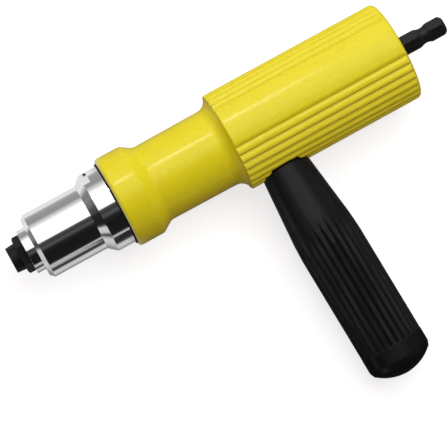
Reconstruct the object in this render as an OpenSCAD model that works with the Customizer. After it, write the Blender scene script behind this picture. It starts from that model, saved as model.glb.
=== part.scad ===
// Blind rivet adapter for a power drill, with a side handle.
// The barrel lies along X with the nosepiece's front face at the origin and the hex shank at +X.
// The handle reaches towards -Y and is rolled down so that its end rests on the same floor as the barrel.

/* [Nosepiece] */
// Diameter of the hole that takes the rivet's mandrel
mandrel_bore_d = 3; // [2:0.1:3.6]
// Chamfer at the mouth of the mandrel hole
mandrel_mouth = 0.3; // [0.1:0.05:0.5]
// Diameter of the round boss at its front face
nose_boss_d = 11.4; // [10.5:0.1:12]
// Diameter of the round boss where it meets the hexagon
nose_boss_rear_d = 12.1; // [12:0.1:13.2]
// Length of the round boss
nose_boss_len = 4; // [3:0.1:6]
// Width of the hexagon across its flats
nose_hex_af = 14.5; // [14:0.5:17]
// Length of the hexagon
nose_hex_len = 3.3; // [2.5:0.1:5]
// Angle of one of its corners, from upright and away from the handle
nose_hex_turn = 20; // [0:1:59]
// Chamfer on the hexagon and on the tail
nose_edge = 0.4; // [0.2:0.05:0.6]
// Diameter of the threaded shank
nose_thread_d = 10; // [9:0.5:11]
// Length of the threaded shank
nose_thread_len = 7.2; // [6:0.2:8]
// Diameter of the tail that reaches into the jaw case
nose_tail_d = 6.4; // [6:0.1:6.8]
// Length of the tail
nose_tail_len = 3.5; // [3:0.1:4.2]

/* [Front sleeve] */
// Diameter of the small spigot behind the nosepiece
spigot_d = 19.9; // [18.5:0.1:22]
// Length of the spigot
spigot_len = 3.9; // [3:0.1:6]
// Diameter of the long front part
sleeve_d = 29.4; // [27:0.2:31]
// Length of the long front part
sleeve_len = 26.6; // [22:0.1:30]
// Chamfer on the front edge of the long part
sleeve_chamfer = 1.8; // [1:0.1:2.5]
// Length of the cone between the two diameters
sleeve_cone_len = 3.7; // [2.5:0.1:5]
// Diameter of the rear part, against the body
ring_d = 35.8; // [34.6:0.2:38]
// Length of the rear part
ring_len = 8; // [6.5:0.1:11]
// Width across the two spanner flats
flat_af = 33; // [31:0.5:34]
// How far the flats reach behind the cone
flat_reach = 2.9; // [2:0.1:5]
// Angle of the flats about the barrel, from upright and away from the handle
flat_turn = 68; // [0:1:90]
// Diameter of the thread that screws into the body
sleeve_thread_d = 32; // [30:0.5:33]
// Length of that thread
sleeve_thread_len = 11.5; // [8:0.5:13]
// Outer diameter of the rubber gasket ring
gasket_d = 37.4; // [37:0.1:39]
// Thickness of the gasket ring
gasket_t = 0.6; // [0.4:0.1:1.2]

/* [Body] */
// Diameter of the front collar
collar_d = 41; // [39:0.5:44]
// Length of the front collar
collar_len = 11.9; // [11:0.1:16]
// Radius of the collar's front edge
collar_edge_r = 1.6; // [0.5:0.1:2]
// Length of the cone behind the collar
collar_cone_len = 5.1; // [4:0.1:6]
// Radius of the blends at both ends of that cone
cone_blend_r = 3; // [1:0.5:4]
// Diameter of the waist behind the cone
waist_d = 34.5; // [33:0.1:35]
// Diameter of the waist in front of the grip
waist_rear_d = 35; // [33.6:0.1:35.2]
// Length from the cone to the grip's front edge
waist_len = 36.3; // [32:0.1:42]
// Slope of the shoulder up to the grip, from the barrel's axis
shoulder_slope = 75; // [62:1:77]
// Length of the slope left straight between its hollow blend and the grip's front edge
shoulder_flat = 0.3; // [0.1:0.1:1.5]
// Diameter of the grip over its ribs
grip_d = 44.4; // [44:0.2:47]
// Length of the grip
grip_len = 81.9; // [78:0.1:90]
// Radius of the grip's front edge
grip_front_r = 0.7; // [0.3:0.1:0.8]
// Radius of the grip's rear edge
grip_rear_r = 2; // [1:0.1:3]
// Depth of the valleys between the ribs
rib_depth = 0.9; // [0.5:0.1:0.9]
// Radius of each rib's rounded back
rib_r = 2.35; // [2.2:0.05:2.6]
// Angle from the handle to the near edge of each smooth panel
panel_from_handle = 78.5; // [72:0.5:84]
// Angle from the middle of the back to the other edge of each smooth panel
panel_from_back = 49; // [46:0.5:52]
// Ribs between each smooth panel and the middle rib on the handle's side
handle_side_ribs = 7; // [6:1:7]
// Ribs between each smooth panel and the middle rib of the back
back_ribs = 4; // [3:1:4]

/* [Handle] */
// Distance of the handle behind the grip's front edge
handle_from_grip = 15.3; // [14:0.1:40]
// Lean of the handle towards the shank
handle_lean = 2.3; // [0:0.1:4]
// Depth of the flat pocket that the handle seats in
handle_pocket = 2.9; // [2:0.1:3.5]
// Diameter of the handle at its seat
handle_neck_d = 21.2; // [20.6:0.2:23]
// Radius of the handle's edge at its seat
neck_edge_r = 1.8; // [0.5:0.1:2.4]
// Distance from the seat to the widest part of the neck
handle_neck_len = 35.7; // [32:0.2:40]
// Diameter at the end of the neck
handle_d = 28.2; // [27:0.2:28.4]
// How far the corner between neck and grip is softened to each side
neck_soften = 4; // [1:0.5:6]
// Diameter at the rim of the end cap
handle_rim_d = 28.4; // [28.4:0.1:30]
// Length from the seat to the seam of the end cap
handle_len = 94.3; // [88:0.1:110]
// Radius of the dome on the end cap
handle_dome_r = 19.4; // [16.4:0.1:24]
// Length of the cap's tapered rim
cap_rim_len = 2.7; // [1.5:0.1:4]
// Diameter at the end of the tapered rim
cap_top_d = 26.4; // [25.6:0.1:28]
// Height of the small step between rim and dome
cap_step = 0.2; // [0.1:0.05:0.4]
// Width and depth of the seam around the cap
seam_w = 0.4; // [0.2:0.1:0.8]
// Length of the plug on the end cap
cap_plug_len = 9.5; // [6:0.5:14]
// Ribs around the handle
handle_ribs = 27; // [25:1:28]
// Radius of each of those ribs' rounded backs
handle_rib_r = 1.6; // [1.5:0.05:1.8]
// Depth of the valleys between them
handle_rib_depth = 0.85; // [0.5:0.05:0.9]
// Where they start, from the seat
handle_rib_start = 24.5; // [20:0.5:30]
// Smooth length left between them and the seam
handle_rib_margin = 6; // [3:0.1:12]
// Gap around the corners of the stud's head in the handle's hollow
head_gap = 0.4; // [0.2:0.1:0.8]
// Diameter of the handle's stud
stud_d = 10; // [8:0.5:10.5]
// Thickness of the wall that the stud's head clamps
stud_wall = 16.4; // [12:0.2:22]
// Width of the stud's head across its flats
stud_head_af = 17; // [16:0.5:17]
// Height of the stud's head
stud_head_h = 6.4; // [5:0.1:8]
// Thickness of the washer under the head
stud_washer_t = 1.6; // [1:0.1:2]

/* [Jaws and case] */
// Diameter over the closed jaws
jaw_d = 13; // [12.4:0.1:13.2]
// Diameter of the closed jaws at their front end
jaw_front_d = 8.2; // [8:0.1:8.6]
// Length of a jaw
jaw_len = 18.5; // [17:0.1:20]
// Length of the tapered part of a jaw
jaw_cone_len = 9.5; // [9:0.1:10.5]
// Diameter inside the tips of the jaw teeth
tooth_tip_d = 2.4; // [2:0.1:2.8]
// Depth of the jaw teeth
tooth_depth = 0.55; // [0.3:0.05:0.7]
// Teeth on each jaw
tooth_count = 9; // [6:1:10]
// Distance from tooth to tooth
tooth_pitch = 1.5; // [1.2:0.05:1.55]
// Share of that distance left flat between two teeth
tooth_land = 0.1; // [0.05:0.01:0.2]
// Diameter at the mouth of the hollow cone behind the jaws
jaw_back_d = 10.4; // [9.6:0.1:10.8]
// Angle of the first jaw about the barrel
jaw_turn = 90; // [0:1:119]
// Gap between closed jaws
jaw_side_gap = 0.4; // [0.2:0.1:0.6]
// How far the jaws slide back along the cone as they open
jaw_travel = 2.5; // [1.5:0.1:2.6]
// Outer diameter of the jaw case
case_d = 20; // [19.6:0.1:21]
// Length of the thread between case and pull tube
case_thread_len = 7.5; // [6:0.5:10]
// Diameter of the thread between case and pull tube
case_thread_d = 16; // [15.6:0.1:16.6]

/* [Jaw pusher and spring] */
// Radial gap around the pusher's flange in the jaw case
pusher_gap = 0.5; // [0.3:0.1:0.9]
// Thickness of the pusher's flange
pusher_flange_t = 3; // [2:0.1:4]
// Angle of the pusher's nose, from the barrel's axis
pusher_nose_angle = 60; // [50:1:75]
// Outer diameter of the pusher's tube
pusher_tube_d = 8; // [7:0.1:8.4]
// Inner diameter of the pusher's tube
pusher_bore_d = 4.4; // [3.8:0.1:5.2]
// Diameter over the coils of the jaw spring
spring_d = 10.6; // [10.4:0.1:10.8]
// Diameter of the spring's wire
spring_wire_d = 1; // [0.8:0.05:1]
// Turns of the jaw spring
spring_turns = 6; // [4:1:8]
// Depth of the spring's pocket in the pull tube
spring_pocket_len = 13; // [11:0.5:16]

/* [Pull tube and nut] */
// How much smaller the pull tube's radius is than the jaw case's
tube_step = 1; // [0.4:0.1:1.6]
// Thickness of the tube's collar behind the jaw case
tube_collar_t = 3; // [2:0.1:5]
// Length of the bore that guides the pusher
pusher_guide_len = 18; // [14:0.5:20]
// Travel of the pull tube
stroke = 20; // [16:1:22]
// Outer diameter of the part that slides in the body
slider_d = 23.9; // [23.5:0.1:24.5]
// Length of that part in front of the nut
slider_lead = 7; // [4:0.5:10]
// Diameter of the nut's outer thread
nut_d = 18; // [17:0.1:18.4]
// Length of the nut inside the tube
nut_len = 25; // [22:0.5:28]
// Radial gap around the nut's flange in the body
nut_flange_gap = 1; // [0.3:0.1:2]
// Thickness of the nut's flange
nut_flange_t = 3; // [2:0.1:4]
// Wall of the pull tube left under the guide key
key_wall = 1.15; // [0.9:0.05:1.4]
// Width of the guide key
key_w = 4; // [3:0.5:5]
// Length of the guide key
key_len = 16; // [10:1:20]
// Height of the guide key
key_h = 3.6; // [3:0.1:3.8]

/* [Spindle and bearing] */
// Diameter of the lead screw
screw_d = 12; // [10:0.2:12.4]
// Chamfer on the tip of the lead screw
screw_chamfer = 1; // [0.5:0.1:1.5]
// Length of screw that stands in front of the nut at home
screw_lead_in = 5; // [3:0.5:8]
// Free length between nut and bearing at full stroke
nut_end_gap = 5; // [2:0.5:7]
// Length of the bearing's journal in front of the bearing
journal_lead = 1; // [0.5:0.1:2]
// Inner diameter of the thrust bearing
bearing_id = 15; // [14:0.1:16]
// Outer diameter of the thrust bearing
bearing_od = 28; // [27:0.1:28.6]
// Thickness of each bearing washer
race_t = 2.75; // [2.4:0.05:3.2]
// How far each ball sits in each bearing washer
ball_seat = 0.63; // [0.3:0.01:0.8]
// Wall of the ball cage beside a ball
cage_wall = 0.52; // [0.4:0.02:0.8]
// Smallest wall of the ball cage between two balls
cage_web = 0.6; // [0.4:0.1:1.5]
// Thickness of the ball cage
cage_t = 1.6; // [1:0.1:2.2]
// Thickness of the spindle's flange
flange_t = 5; // [4:0.5:7]
// How far the flange lies below the bearing's outside
flange_inset = 0.3; // [0.1:0.05:0.8]
// Thickness of the plain washer behind the flange
play_washer_t = 1; // [0.6:0.1:2]
// Diameter of the shaft in the rear bush
journal_d = 14; // [12:0.2:15]
// Outer diameter of the rear bush
bush_d = 18; // [17:0.2:20]
// How much larger the radius of the threaded plug that closes the barrel is than the bearing's
plug_step = 1; // [0.7:0.1:2]
// Length of free thread in front of the plug
plug_lead = 2; // [1:0.5:3]
// How deep the plug lies below the grip's rear face
plug_recess = 0.5; // [0:0.1:2]
// Diameter of the two spanner holes in the plug
pin_hole_d = 3; // [2:0.1:3.4]
// Depth of the spanner holes
pin_hole_depth = 4; // [2:0.5:5]
// Width of the hex shank across its flats
shank_af = 8; // [6.4:0.1:9.5]
// Length of the hex shank behind the barrel
shank_len = 22.9; // [18:0.1:30]
// Chamfer on the end of the shank
shank_chamfer = 0.9; // [0.4:0.1:1.2]
// Distance of the detent groove from the shank's end
detent_from_end = 10.1; // [8:0.1:12]
// Width of the detent groove
detent_w = 6.4; // [4:0.1:8]
// Smallest diameter in the detent groove, below the width across the flats
detent_below = 1.1; // [0.4:0.1:1.6]

/* [Clearances] */
// Radial clearance of parts that slide or turn in each other
run_gap = 0.05; // [0.02:0.01:0.08]
// Radial clearance drawn between mating threads
thread_gap = 0.05; // [0.02:0.01:0.1]
// Radial clearance of parts that pass each other without touching
free_gap = 0.1; // [0.06:0.01:0.2]
// Relief behind a thread that is screwed home
thread_relief = 0.4; // [0.2:0.1:0.8]
// Axial play between parts that turn against each other
play = 0.1; // [0.05:0.05:0.3]
// Gap around the handle's neck in its pocket
seat_gap = 0.25; // [0.1:0.05:0.5]
// Distance that the jaws and the case keep from the nosepiece and sleeve at home
home_gap = 0.3; // [0.2:0.1:0.8]
// Radial gap around the nosepiece's tail in the jaw case
tail_gap = 0.6; // [0.4:0.1:0.8]
// Gap between the pusher's flange and the pull tube when the jaws are open
open_gap = 0.6; // [0.3:0.1:1.5]
// Gap behind the pusher's tube when the jaws are open
stop_gap = 1.5; // [0.5:0.1:3]
// Radial gap around the jaw spring
spring_gap = 0.2; // [0.1:0.05:0.3]
// Radial gap around the lead screw in the pull tube
cavity_gap = 0.5; // [0.3:0.1:0.9]
// Gap in front of the lead screw's tip at full stroke
screw_tip_gap = 6; // [2:0.5:7]
// How far the keyway reaches in front of the key at home
keyway_lead = 3; // [1:0.5:5]
// Radial gap between the ball cage and the parts around it
cage_gap = 0.3; // [0.2:0.05:0.6]
// Wall left between the stud's tip and the barrel's bore
stud_tip_gap = 0.6; // [0.3:0.1:1.5]

/* [Hidden] */
$fn = 96;

// How far a cutting shape passes the face that it cuts, and how far joined shapes overlap
over = 1;
blend_root = 0.3;

// How far the ribs' backs stand out of the turned outline that trims them
rib_proud = 0.01;

// Places along the barrel, from the nosepiece's front face
spigot_x = nose_boss_len + nose_hex_len;
sleeve_x = spigot_x + spigot_len;
cone_x = sleeve_x + sleeve_len;
ring_x = cone_x + sleeve_cone_len;
gasket_x = ring_x + ring_len;
body_x = gasket_x + gasket_t;
collar_end = body_x + collar_len;
waist_x = collar_end + collar_cone_len;
grip_x = waist_x + waist_len;
body_end = grip_x + grip_len;
sleeve_end = body_x + sleeve_thread_len;
sleeve_seat_x = sleeve_end + thread_relief;

// Nosepiece tail and sleeve bore
sleeve_bore_x = spigot_x + nose_thread_len + thread_relief;
tail_end = spigot_x + nose_thread_len + nose_tail_len;
case_r = case_d / 2;
tube_r = case_r - tube_step;
sleeve_bore_r = case_r + run_gap;

// Jaws, whose cone and the case's cone share one slant
jaw_x = tail_end + home_gap;
jaw_end = jaw_x + jaw_len;
jaw_r = jaw_d / 2;
jaw_front_r = jaw_front_d / 2;
jaw_count = 3;
jaw_slant = atan((jaw_r - jaw_front_r) / jaw_cone_len);
jaw_lift = jaw_travel * sin(jaw_slant);
cone_gap = run_gap / cos(jaw_slant);
case_bore_r = jaw_r + jaw_lift + free_gap;
pusher_r = case_bore_r - pusher_gap;
case_hole_r = nose_tail_d / 2 + tail_gap;
case_x = sleeve_bore_x + home_gap;
function case_cone_x(r) = jaw_x + (r - jaw_front_r - cone_gap) / tan(jaw_slant);
jaw_back_r = jaw_back_d / 2;
tooth_tip_r = tooth_tip_d / 2;
tooth_root_r = tooth_tip_r + tooth_depth;

// Pusher, spring and pull tube
pusher_x = jaw_end + play;
pusher_flange_end = pusher_x + pusher_flange_t;
tube_x = pusher_flange_end + jaw_travel + open_gap;
case_end = tube_x + case_thread_len;
tube_collar_end = case_end + tube_collar_t;
spring_seat_x = tube_x + spring_pocket_len;
spring_pocket_r = spring_d / 2 + spring_gap;
guide_end = spring_seat_x + pusher_guide_len;
pusher_end = guide_end - jaw_travel - stop_gap;
cavity_r = screw_d / 2 + cavity_gap;
nut_x = guide_end + stroke + screw_lead_in + screw_tip_gap;
tube_end = nut_x + nut_len;
nut_end = tube_end + nut_flange_t;
slider_x = nut_x - slider_lead;
screw_x = nut_x - screw_lead_in;
main_bore_r = slider_d / 2 + run_gap;
nut_flange_r = main_bore_r - nut_flange_gap;

// Guide key, seated in the slider and running in the body
key_x = nut_x + (nut_len - key_len) / 2;
key_base_r = nut_d / 2 + thread_gap + key_wall;
key_top_r = key_base_r + key_h;
keyway_r = key_top_r + free_gap;
keyway_x = key_x - keyway_lead;

// Thrust bearing and rear plug
race_x = nut_end + stroke + nut_end_gap;
ball_d = (bearing_od - bearing_id) / 2 - 2 * (cage_gap + cage_wall + run_gap);
ball_pitch_r = (bearing_id + bearing_od) / 4;
ball_count = floor(180 / asin((ball_d / 2 + run_gap + cage_web / 2) / ball_pitch_r));
race_gap = ball_d - 2 * ball_seat;
ball_x = race_x + race_t + race_gap / 2;
turning_race_x = race_x + race_t + race_gap;
flange_x = turning_race_x + race_t;
flange_end = flange_x + flange_t;
washer_x = flange_end + play;
plug_x = washer_x + play_washer_t + play;
plug_end = body_end - plug_recess;
plug_seat_x = plug_x - plug_lead;
chamber_r = bearing_od / 2 + run_gap;
plug_r = bearing_od / 2 + plug_step;
plug_bore_r = plug_r + thread_gap;
race_groove_r = ball_d / 2 + play;
flange_r = bearing_od / 2 - flange_inset;
pin_circle_r = (bush_d / 2 + plug_r) / 2;

// Hex shank
shank_end = plug_end + shank_len + plug_recess;
detent_x = shank_end - detent_from_end;
detent_neck_r = (shank_af - detent_below) / 2;
detent_depth = shank_af / sqrt(3) - detent_neck_r;
detent_r = (pow(detent_w / 2, 2) + pow(detent_depth, 2)) / (2 * detent_depth);

// Grip outline
grip_r = grip_d / 2;
waist_rear_r = waist_rear_d / 2;
foot_x = grip_x - (grip_r - waist_rear_r) / tan(shoulder_slope);
shoulder_len = (grip_r - waist_rear_r) / sin(shoulder_slope);
shoulder_half_angle = 90 - shoulder_slope / 2;
front_edge_reach = grip_front_r / tan(shoulder_half_angle);
shoulder_r = (shoulder_len - front_edge_reach - shoulder_flat) * tan(shoulder_half_angle);
valley_r = grip_r - rib_depth;
panel_facets = 4;
handle_side_step = panel_from_handle / (handle_side_ribs + 0.5);
back_step = panel_from_back / (back_ribs + 0.5);
panel_start = (handle_side_ribs + 1) * handle_side_step;
panel_end = 180 - (back_ribs + 1) * back_step;

// Handle, in its own frame with z away from the barrel
handle_x = grip_x + handle_from_grip;
seat_z = grip_r - handle_pocket;
neck_end_z = seat_z + handle_neck_len;
cap_z = seat_z + handle_len;
neck_r = handle_neck_d / 2;
handle_r = handle_d / 2;
rim_r = handle_rim_d / 2;
rim_z = cap_z + seam_w;
dome_z = cap_z + cap_rim_len;
cap_top_r = cap_top_d / 2;
dome_base_r = cap_top_r - cap_step;
dome_drop = handle_dome_r - sqrt(pow(handle_dome_r, 2) - pow(dome_base_r, 2));
handle_end_z = dome_z + dome_drop;
washer_z = seat_z + stud_wall;
head_z = washer_z + stud_washer_t;
neck_flare = (handle_r - neck_r) / handle_neck_len;
pocket_r = neck_r + handle_pocket * neck_flare + seat_gap;
hollow_r = stud_head_af / sqrt(3) + head_gap;
stud_tip_z = main_bore_r + stud_tip_gap;
ribs_z0 = seat_z + handle_rib_start;
ribs_z1 = cap_z - handle_rib_margin;
first_rib = 0.75;

// Roll about the barrel that puts the grip and the handle's rim on one floor
rim_reach = norm([rim_z, rim_r]);
lie_roll = asin(grip_r / rim_reach) - atan(rim_r / rim_z);

// Body of revolution about X from a profile of [radius, x]
module turned() {
  rotate([0, 90, 0]) rotate_extrude() children();
}

// Plain round bar or hole along X
module bar(x0, x1, r) {
  translate([x0, 0, 0]) rotate([0, 90, 0]) cylinder(h = x1 - x0, r = r);
}

// Prism along X from a section drawn in Y and Z
module prism(x0, x1) {
  translate([x0, 0, 0]) rotate([90, 0, 90]) linear_extrude(x1 - x0) children();
}

// Hexagon with two corners on the section's second axis
module hexagon(af) {
  rotate(30) circle(r = af / sqrt(3), $fn = 6);
}

function unit(v) = v / norm(v);

// What a blend of radius r adds to or takes from the corner p between points a and b.
// It starts behind the corner, so that it overlaps what it is joined to or cut from.
module blend(p, a, b, r) {
  ua = unit(a - p);
  ub = unit(b - p);
  inward = unit(ua + ub);
  half = acos(ua * ub) / 2;
  reach = r / tan(half);
  difference() {
    polygon([p - inward * blend_root, p + ua * reach, p + ub * reach]);
    translate(p + inward * r / sin(half)) circle(r = r);
  }
}

// Everything is drawn in the barrel's frame and then rolled down to the floor
module lie() {
  rotate([lie_roll, 0, 0]) children();
}

module at_handle() {
  translate([handle_x, 0, 0]) rotate([90, 0, 0]) rotate([0, handle_lean, 0]) children();
}

module grip_rib(turn) {
  rotate(turn) translate([grip_r + rib_proud - rib_r, 0]) circle(r = rib_r);
}

// Section of the ribbed grip. The outer ribs on both sides round the smooth panels' edges.
module grip_section() {
  circle(r = valley_r);
  for (i = [-handle_side_ribs - 1 : handle_side_ribs + 1]) grip_rib(180 + i * handle_side_step);
  for (i = [-back_ribs - 1 : back_ribs + 1]) grip_rib(i * back_step);
  for (side = [-1, 1])
    intersection() {
      circle(r = grip_r + rib_depth);
      polygon(concat([[0, 0]], [for (k = [0 : panel_facets])
        let (h = 180 + side * (panel_start + k / panel_facets * (panel_end - panel_start)))
        2 * grip_r * [cos(h), sin(h)]]));
    }
}

module body_profile() {
  collar_r = collar_d / 2;
  front = [collar_r, body_x];
  collar_corner = [collar_r, collar_end];
  waist_corner = [waist_d / 2, waist_x];
  foot = [waist_rear_r, foot_x];
  rim = [grip_r, grip_x];
  rear = [grip_r, body_end];
  difference() {
    union() {
      polygon([[0, body_x], front, collar_corner, waist_corner, foot, rim, rear, [0, body_end]]);
      blend(waist_corner, collar_corner, foot, cone_blend_r);
      blend(foot, waist_corner, rim, shoulder_r);
    }
    blend(front, [0, body_x], collar_corner, collar_edge_r);
    blend(collar_corner, front, waist_corner, cone_blend_r);
    blend(rim, foot, rear, grip_front_r);
    blend(rear, rim, [0, body_end], grip_rear_r);
  }
}

module body_shell() {
  color("gold") lie() difference() {
    turned() body_profile();
    prism(foot_x, body_end + over) difference() {
      circle(r = grip_r + over);
      grip_section();
    }
    bar(body_x - over, sleeve_seat_x, sleeve_thread_d / 2 + thread_gap);
    bar(sleeve_seat_x - over, race_x + over, main_bore_r);
    bar(race_x, plug_seat_x + over, chamber_r);
    bar(plug_seat_x, body_end + over, plug_bore_r);
    prism(keyway_x, race_x + over)
      translate([0, -key_w / 2 - run_gap]) square([keyway_r, key_w + 2 * run_gap]);
    at_handle() translate([0, 0, seat_z]) cylinder(h = grip_r, r = pocket_r);
    at_handle() cylinder(h = grip_r, r = stud_d / 2 + thread_gap);
  }
}

module front_sleeve() {
  flat_x = ring_x + flat_reach;
  color("silver") lie() difference() {
    turned() polygon([
      [0, spigot_x],
      [spigot_d / 2, spigot_x],
      [spigot_d / 2, sleeve_x],
      [sleeve_d / 2 - sleeve_chamfer, sleeve_x],
      [sleeve_d / 2, sleeve_x + sleeve_chamfer],
      [sleeve_d / 2, cone_x],
      [ring_d / 2, ring_x],
      [ring_d / 2, gasket_x],
      [sleeve_thread_d / 2, gasket_x],
      [sleeve_thread_d / 2, sleeve_end],
      [0, sleeve_end]
    ]);
    for (side = [0, 180])
      rotate([side - flat_turn, 0, 0])
        translate([cone_x - over, -ring_d, flat_af / 2]) cube([flat_x - cone_x + over, 2 * ring_d, ring_d]);
    bar(spigot_x - over, sleeve_bore_x + over, nose_thread_d / 2 + thread_gap);
    bar(sleeve_bore_x, sleeve_end + over, sleeve_bore_r);
  }
}

module sleeve_gasket() {
  color("black") lie() difference() {
    bar(gasket_x, body_x, gasket_d / 2);
    bar(gasket_x - over, body_x + over, sleeve_thread_d / 2 + thread_gap);
  }
}

module nosepiece() {
  bore_r = mandrel_bore_d / 2;
  thread_end = spigot_x + nose_thread_len;
  tail_r = nose_tail_d / 2;
  color("dimgray") lie() difference() {
    union() {
      turned() polygon([
        [0, 0],
        [nose_boss_d / 2, 0],
        [nose_boss_rear_d / 2, nose_boss_len],
        [nose_boss_rear_d / 2, nose_boss_len + over],
        [nose_thread_d / 2, nose_boss_len + over],
        [nose_thread_d / 2, thread_end],
        [tail_r, thread_end],
        [tail_r, tail_end - nose_edge],
        [tail_r - nose_edge, tail_end],
        [0, tail_end]
      ]);
      intersection() {
        prism(nose_boss_len, spigot_x) rotate(-nose_hex_turn - lie_roll) hexagon(nose_hex_af);
        turned() polygon([
          [0, nose_boss_len],
          [nose_hex_af / 2, nose_boss_len],
          [nose_hex_af / 2 + 2 * nose_edge, nose_boss_len + nose_edge],
          [nose_hex_af, spigot_x],
          [0, spigot_x]
        ]);
      }
    }
    bar(-over, tail_end + over, bore_r);
    turned() polygon([
      [0, -over],
      [bore_r + mandrel_mouth + over, -over],
      [bore_r, mandrel_mouth],
      [0, mandrel_mouth]
    ]);
  }
}

module rear_plug() {
  color("darkgray") lie() difference() {
    bar(plug_x, plug_end, plug_r);
    bar(plug_x - over, plug_end + over, bush_d / 2);
    for (side = [0, 180])
      rotate([side, 0, 0]) translate([0, pin_circle_r, 0])
        bar(plug_end - pin_hole_depth, plug_end + over, pin_hole_d / 2);
  }
}

module rear_bush() {
  color("peru") lie() difference() {
    bar(plug_x, plug_end, bush_d / 2);
    bar(plug_x - over, plug_end + over, journal_d / 2 + run_gap);
  }
}

// Grooved washer whose ball track faces the plane x = ball_x
module bearing_race(x0, inner_r, outer_r) {
  difference() {
    bar(x0, x0 + race_t, outer_r);
    bar(x0 - over, x0 + race_t + over, inner_r);
    turned() translate([ball_pitch_r, ball_x]) circle(r = race_groove_r);
  }
}

module fixed_race() {
  color("lightsteelblue") lie() bearing_race(race_x, bearing_id / 2 + free_gap, bearing_od / 2);
}

module turning_race() {
  color("lightsteelblue") lie()
    bearing_race(turning_race_x, bearing_id / 2 + run_gap, bearing_od / 2 - free_gap);
}

module ball_cage() {
  color("goldenrod") lie() difference() {
    bar(ball_x - cage_t / 2, ball_x + cage_t / 2, bearing_od / 2 - cage_gap);
    bar(ball_x - cage_t, ball_x + cage_t, bearing_id / 2 + cage_gap);
    for (i = [0 : ball_count - 1])
      rotate([i * 360 / ball_count, 0, 0]) translate([0, ball_pitch_r, 0])
        bar(ball_x - cage_t, ball_x + cage_t, ball_d / 2 + run_gap);
  }
}

module bearing_balls() {
  color("silver") lie()
    for (i = [0 : ball_count - 1])
      rotate([i * 360 / ball_count, 0, 0]) translate([ball_x, ball_pitch_r, 0]) sphere(r = ball_d / 2);
}

module drive_spindle() {
  color("dimgray") lie() union() {
    turned() polygon([
      [0, screw_x],
      [screw_d / 2 - screw_chamfer, screw_x],
      [screw_d / 2, screw_x + screw_chamfer],
      [screw_d / 2, race_x - journal_lead],
      [bearing_id / 2, race_x - journal_lead],
      [bearing_id / 2, flange_x],
      [flange_r, flange_x],
      [flange_r, flange_end],
      [journal_d / 2, flange_end],
      [journal_d / 2, plug_end],
      [0, plug_end]
    ]);
    difference() {
      intersection() {
        prism(plug_end - over, shank_end) rotate(-lie_roll) hexagon(shank_af);
        turned() polygon([
          [0, plug_end - over],
          [shank_af, plug_end - over],
          [shank_af, shank_end - shank_chamfer - shank_af / 2],
          [shank_af / 2 - shank_chamfer, shank_end],
          [0, shank_end]
        ]);
      }
      turned() translate([detent_neck_r + detent_r, detent_x]) circle(r = detent_r);
    }
  }
}

module play_washer() {
  color("peru") lie() difference() {
    bar(washer_x, washer_x + play_washer_t, flange_r);
    bar(washer_x - over, washer_x + play_washer_t + over, journal_d / 2 + free_gap);
  }
}

module pull_tube() {
  color("slategray") lie() difference() {
    turned() polygon([
      [0, tube_x],
      [case_thread_d / 2, tube_x],
      [case_thread_d / 2, case_end],
      [case_r - free_gap, case_end],
      [case_r - free_gap, tube_collar_end],
      [tube_r, tube_collar_end],
      [tube_r, slider_x],
      [slider_d / 2, slider_x],
      [slider_d / 2, tube_end],
      [0, tube_end]
    ]);
    bar(tube_x - over, spring_seat_x, spring_pocket_r);
    bar(tube_x - over, guide_end + over, pusher_tube_d / 2 + run_gap);
    bar(guide_end, nut_x + over, cavity_r);
    bar(nut_x, tube_end + over, nut_d / 2 + thread_gap);
    prism(key_x, key_x + key_len) translate([key_base_r, -key_w / 2]) square([slider_d, key_w]);
  }
}

module drive_nut() {
  color("darkgoldenrod") lie() difference() {
    turned() polygon([
      [0, nut_x],
      [nut_d / 2, nut_x],
      [nut_d / 2, tube_end],
      [nut_flange_r, tube_end],
      [nut_flange_r, nut_end],
      [0, nut_end]
    ]);
    bar(nut_x - over, nut_end + over, screw_d / 2 + run_gap);
  }
}

module guide_key() {
  color("silver") lie() prism(key_x, key_x + key_len)
    translate([key_base_r, -key_w / 2]) square([key_h, key_w]);
}

module jaw_case() {
  color("slategray") lie() difference() {
    bar(case_x, case_end, case_r);
    turned() polygon([
      [0, case_x - over],
      [case_hole_r, case_x - over],
      [case_hole_r, case_cone_x(case_hole_r)],
      [case_bore_r, case_cone_x(case_bore_r)],
      [case_bore_r, tube_x],
      [case_thread_d / 2 + thread_gap, tube_x],
      [case_thread_d / 2 + thread_gap, case_end + over],
      [0, case_end + over]
    ]);
  }
}

// Profile of the jaws: taper outside, saw teeth inside, hollow cone behind
module jaw_profile() {
  teeth_x = jaw_x + (jaw_len - tooth_count * tooth_pitch) / 2;
  cone_depth = (jaw_back_r - tooth_root_r) / tan(pusher_nose_angle);
  polygon(concat(
    [[tooth_root_r, jaw_x], [jaw_front_r, jaw_x], [jaw_r, jaw_x + jaw_cone_len],
     [jaw_r, jaw_end], [jaw_back_r, jaw_end], [tooth_root_r, jaw_end - cone_depth]],
    [for (i = [tooth_count - 1 : -1 : 0])
      each [[tooth_root_r, teeth_x + (i + 1) * tooth_pitch],
            [tooth_tip_r, teeth_x + (i + 1 - tooth_land) * tooth_pitch],
            [tooth_root_r, teeth_x + (i + tooth_land) * tooth_pitch]]]
  ));
}

module jaw(index) {
  half = 180 / jaw_count;
  apex = jaw_side_gap / 2 / sin(half);
  side = 2 * jaw_d * [cos(half), sin(half)];
  color("gray") lie() rotate([jaw_turn + 2 * half * index, 0, 0]) intersection() {
    turned() jaw_profile();
    prism(jaw_x - over, jaw_end + over)
      polygon([[apex, 0], [apex + side[0], -side[1]], [apex + 2 * side[0], 0], [apex + side[0], side[1]]]);
  }
}

module jaw_1() {
  jaw(0);
}

module jaw_2() {
  jaw(1);
}

module jaw_3() {
  jaw(2);
}

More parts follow.
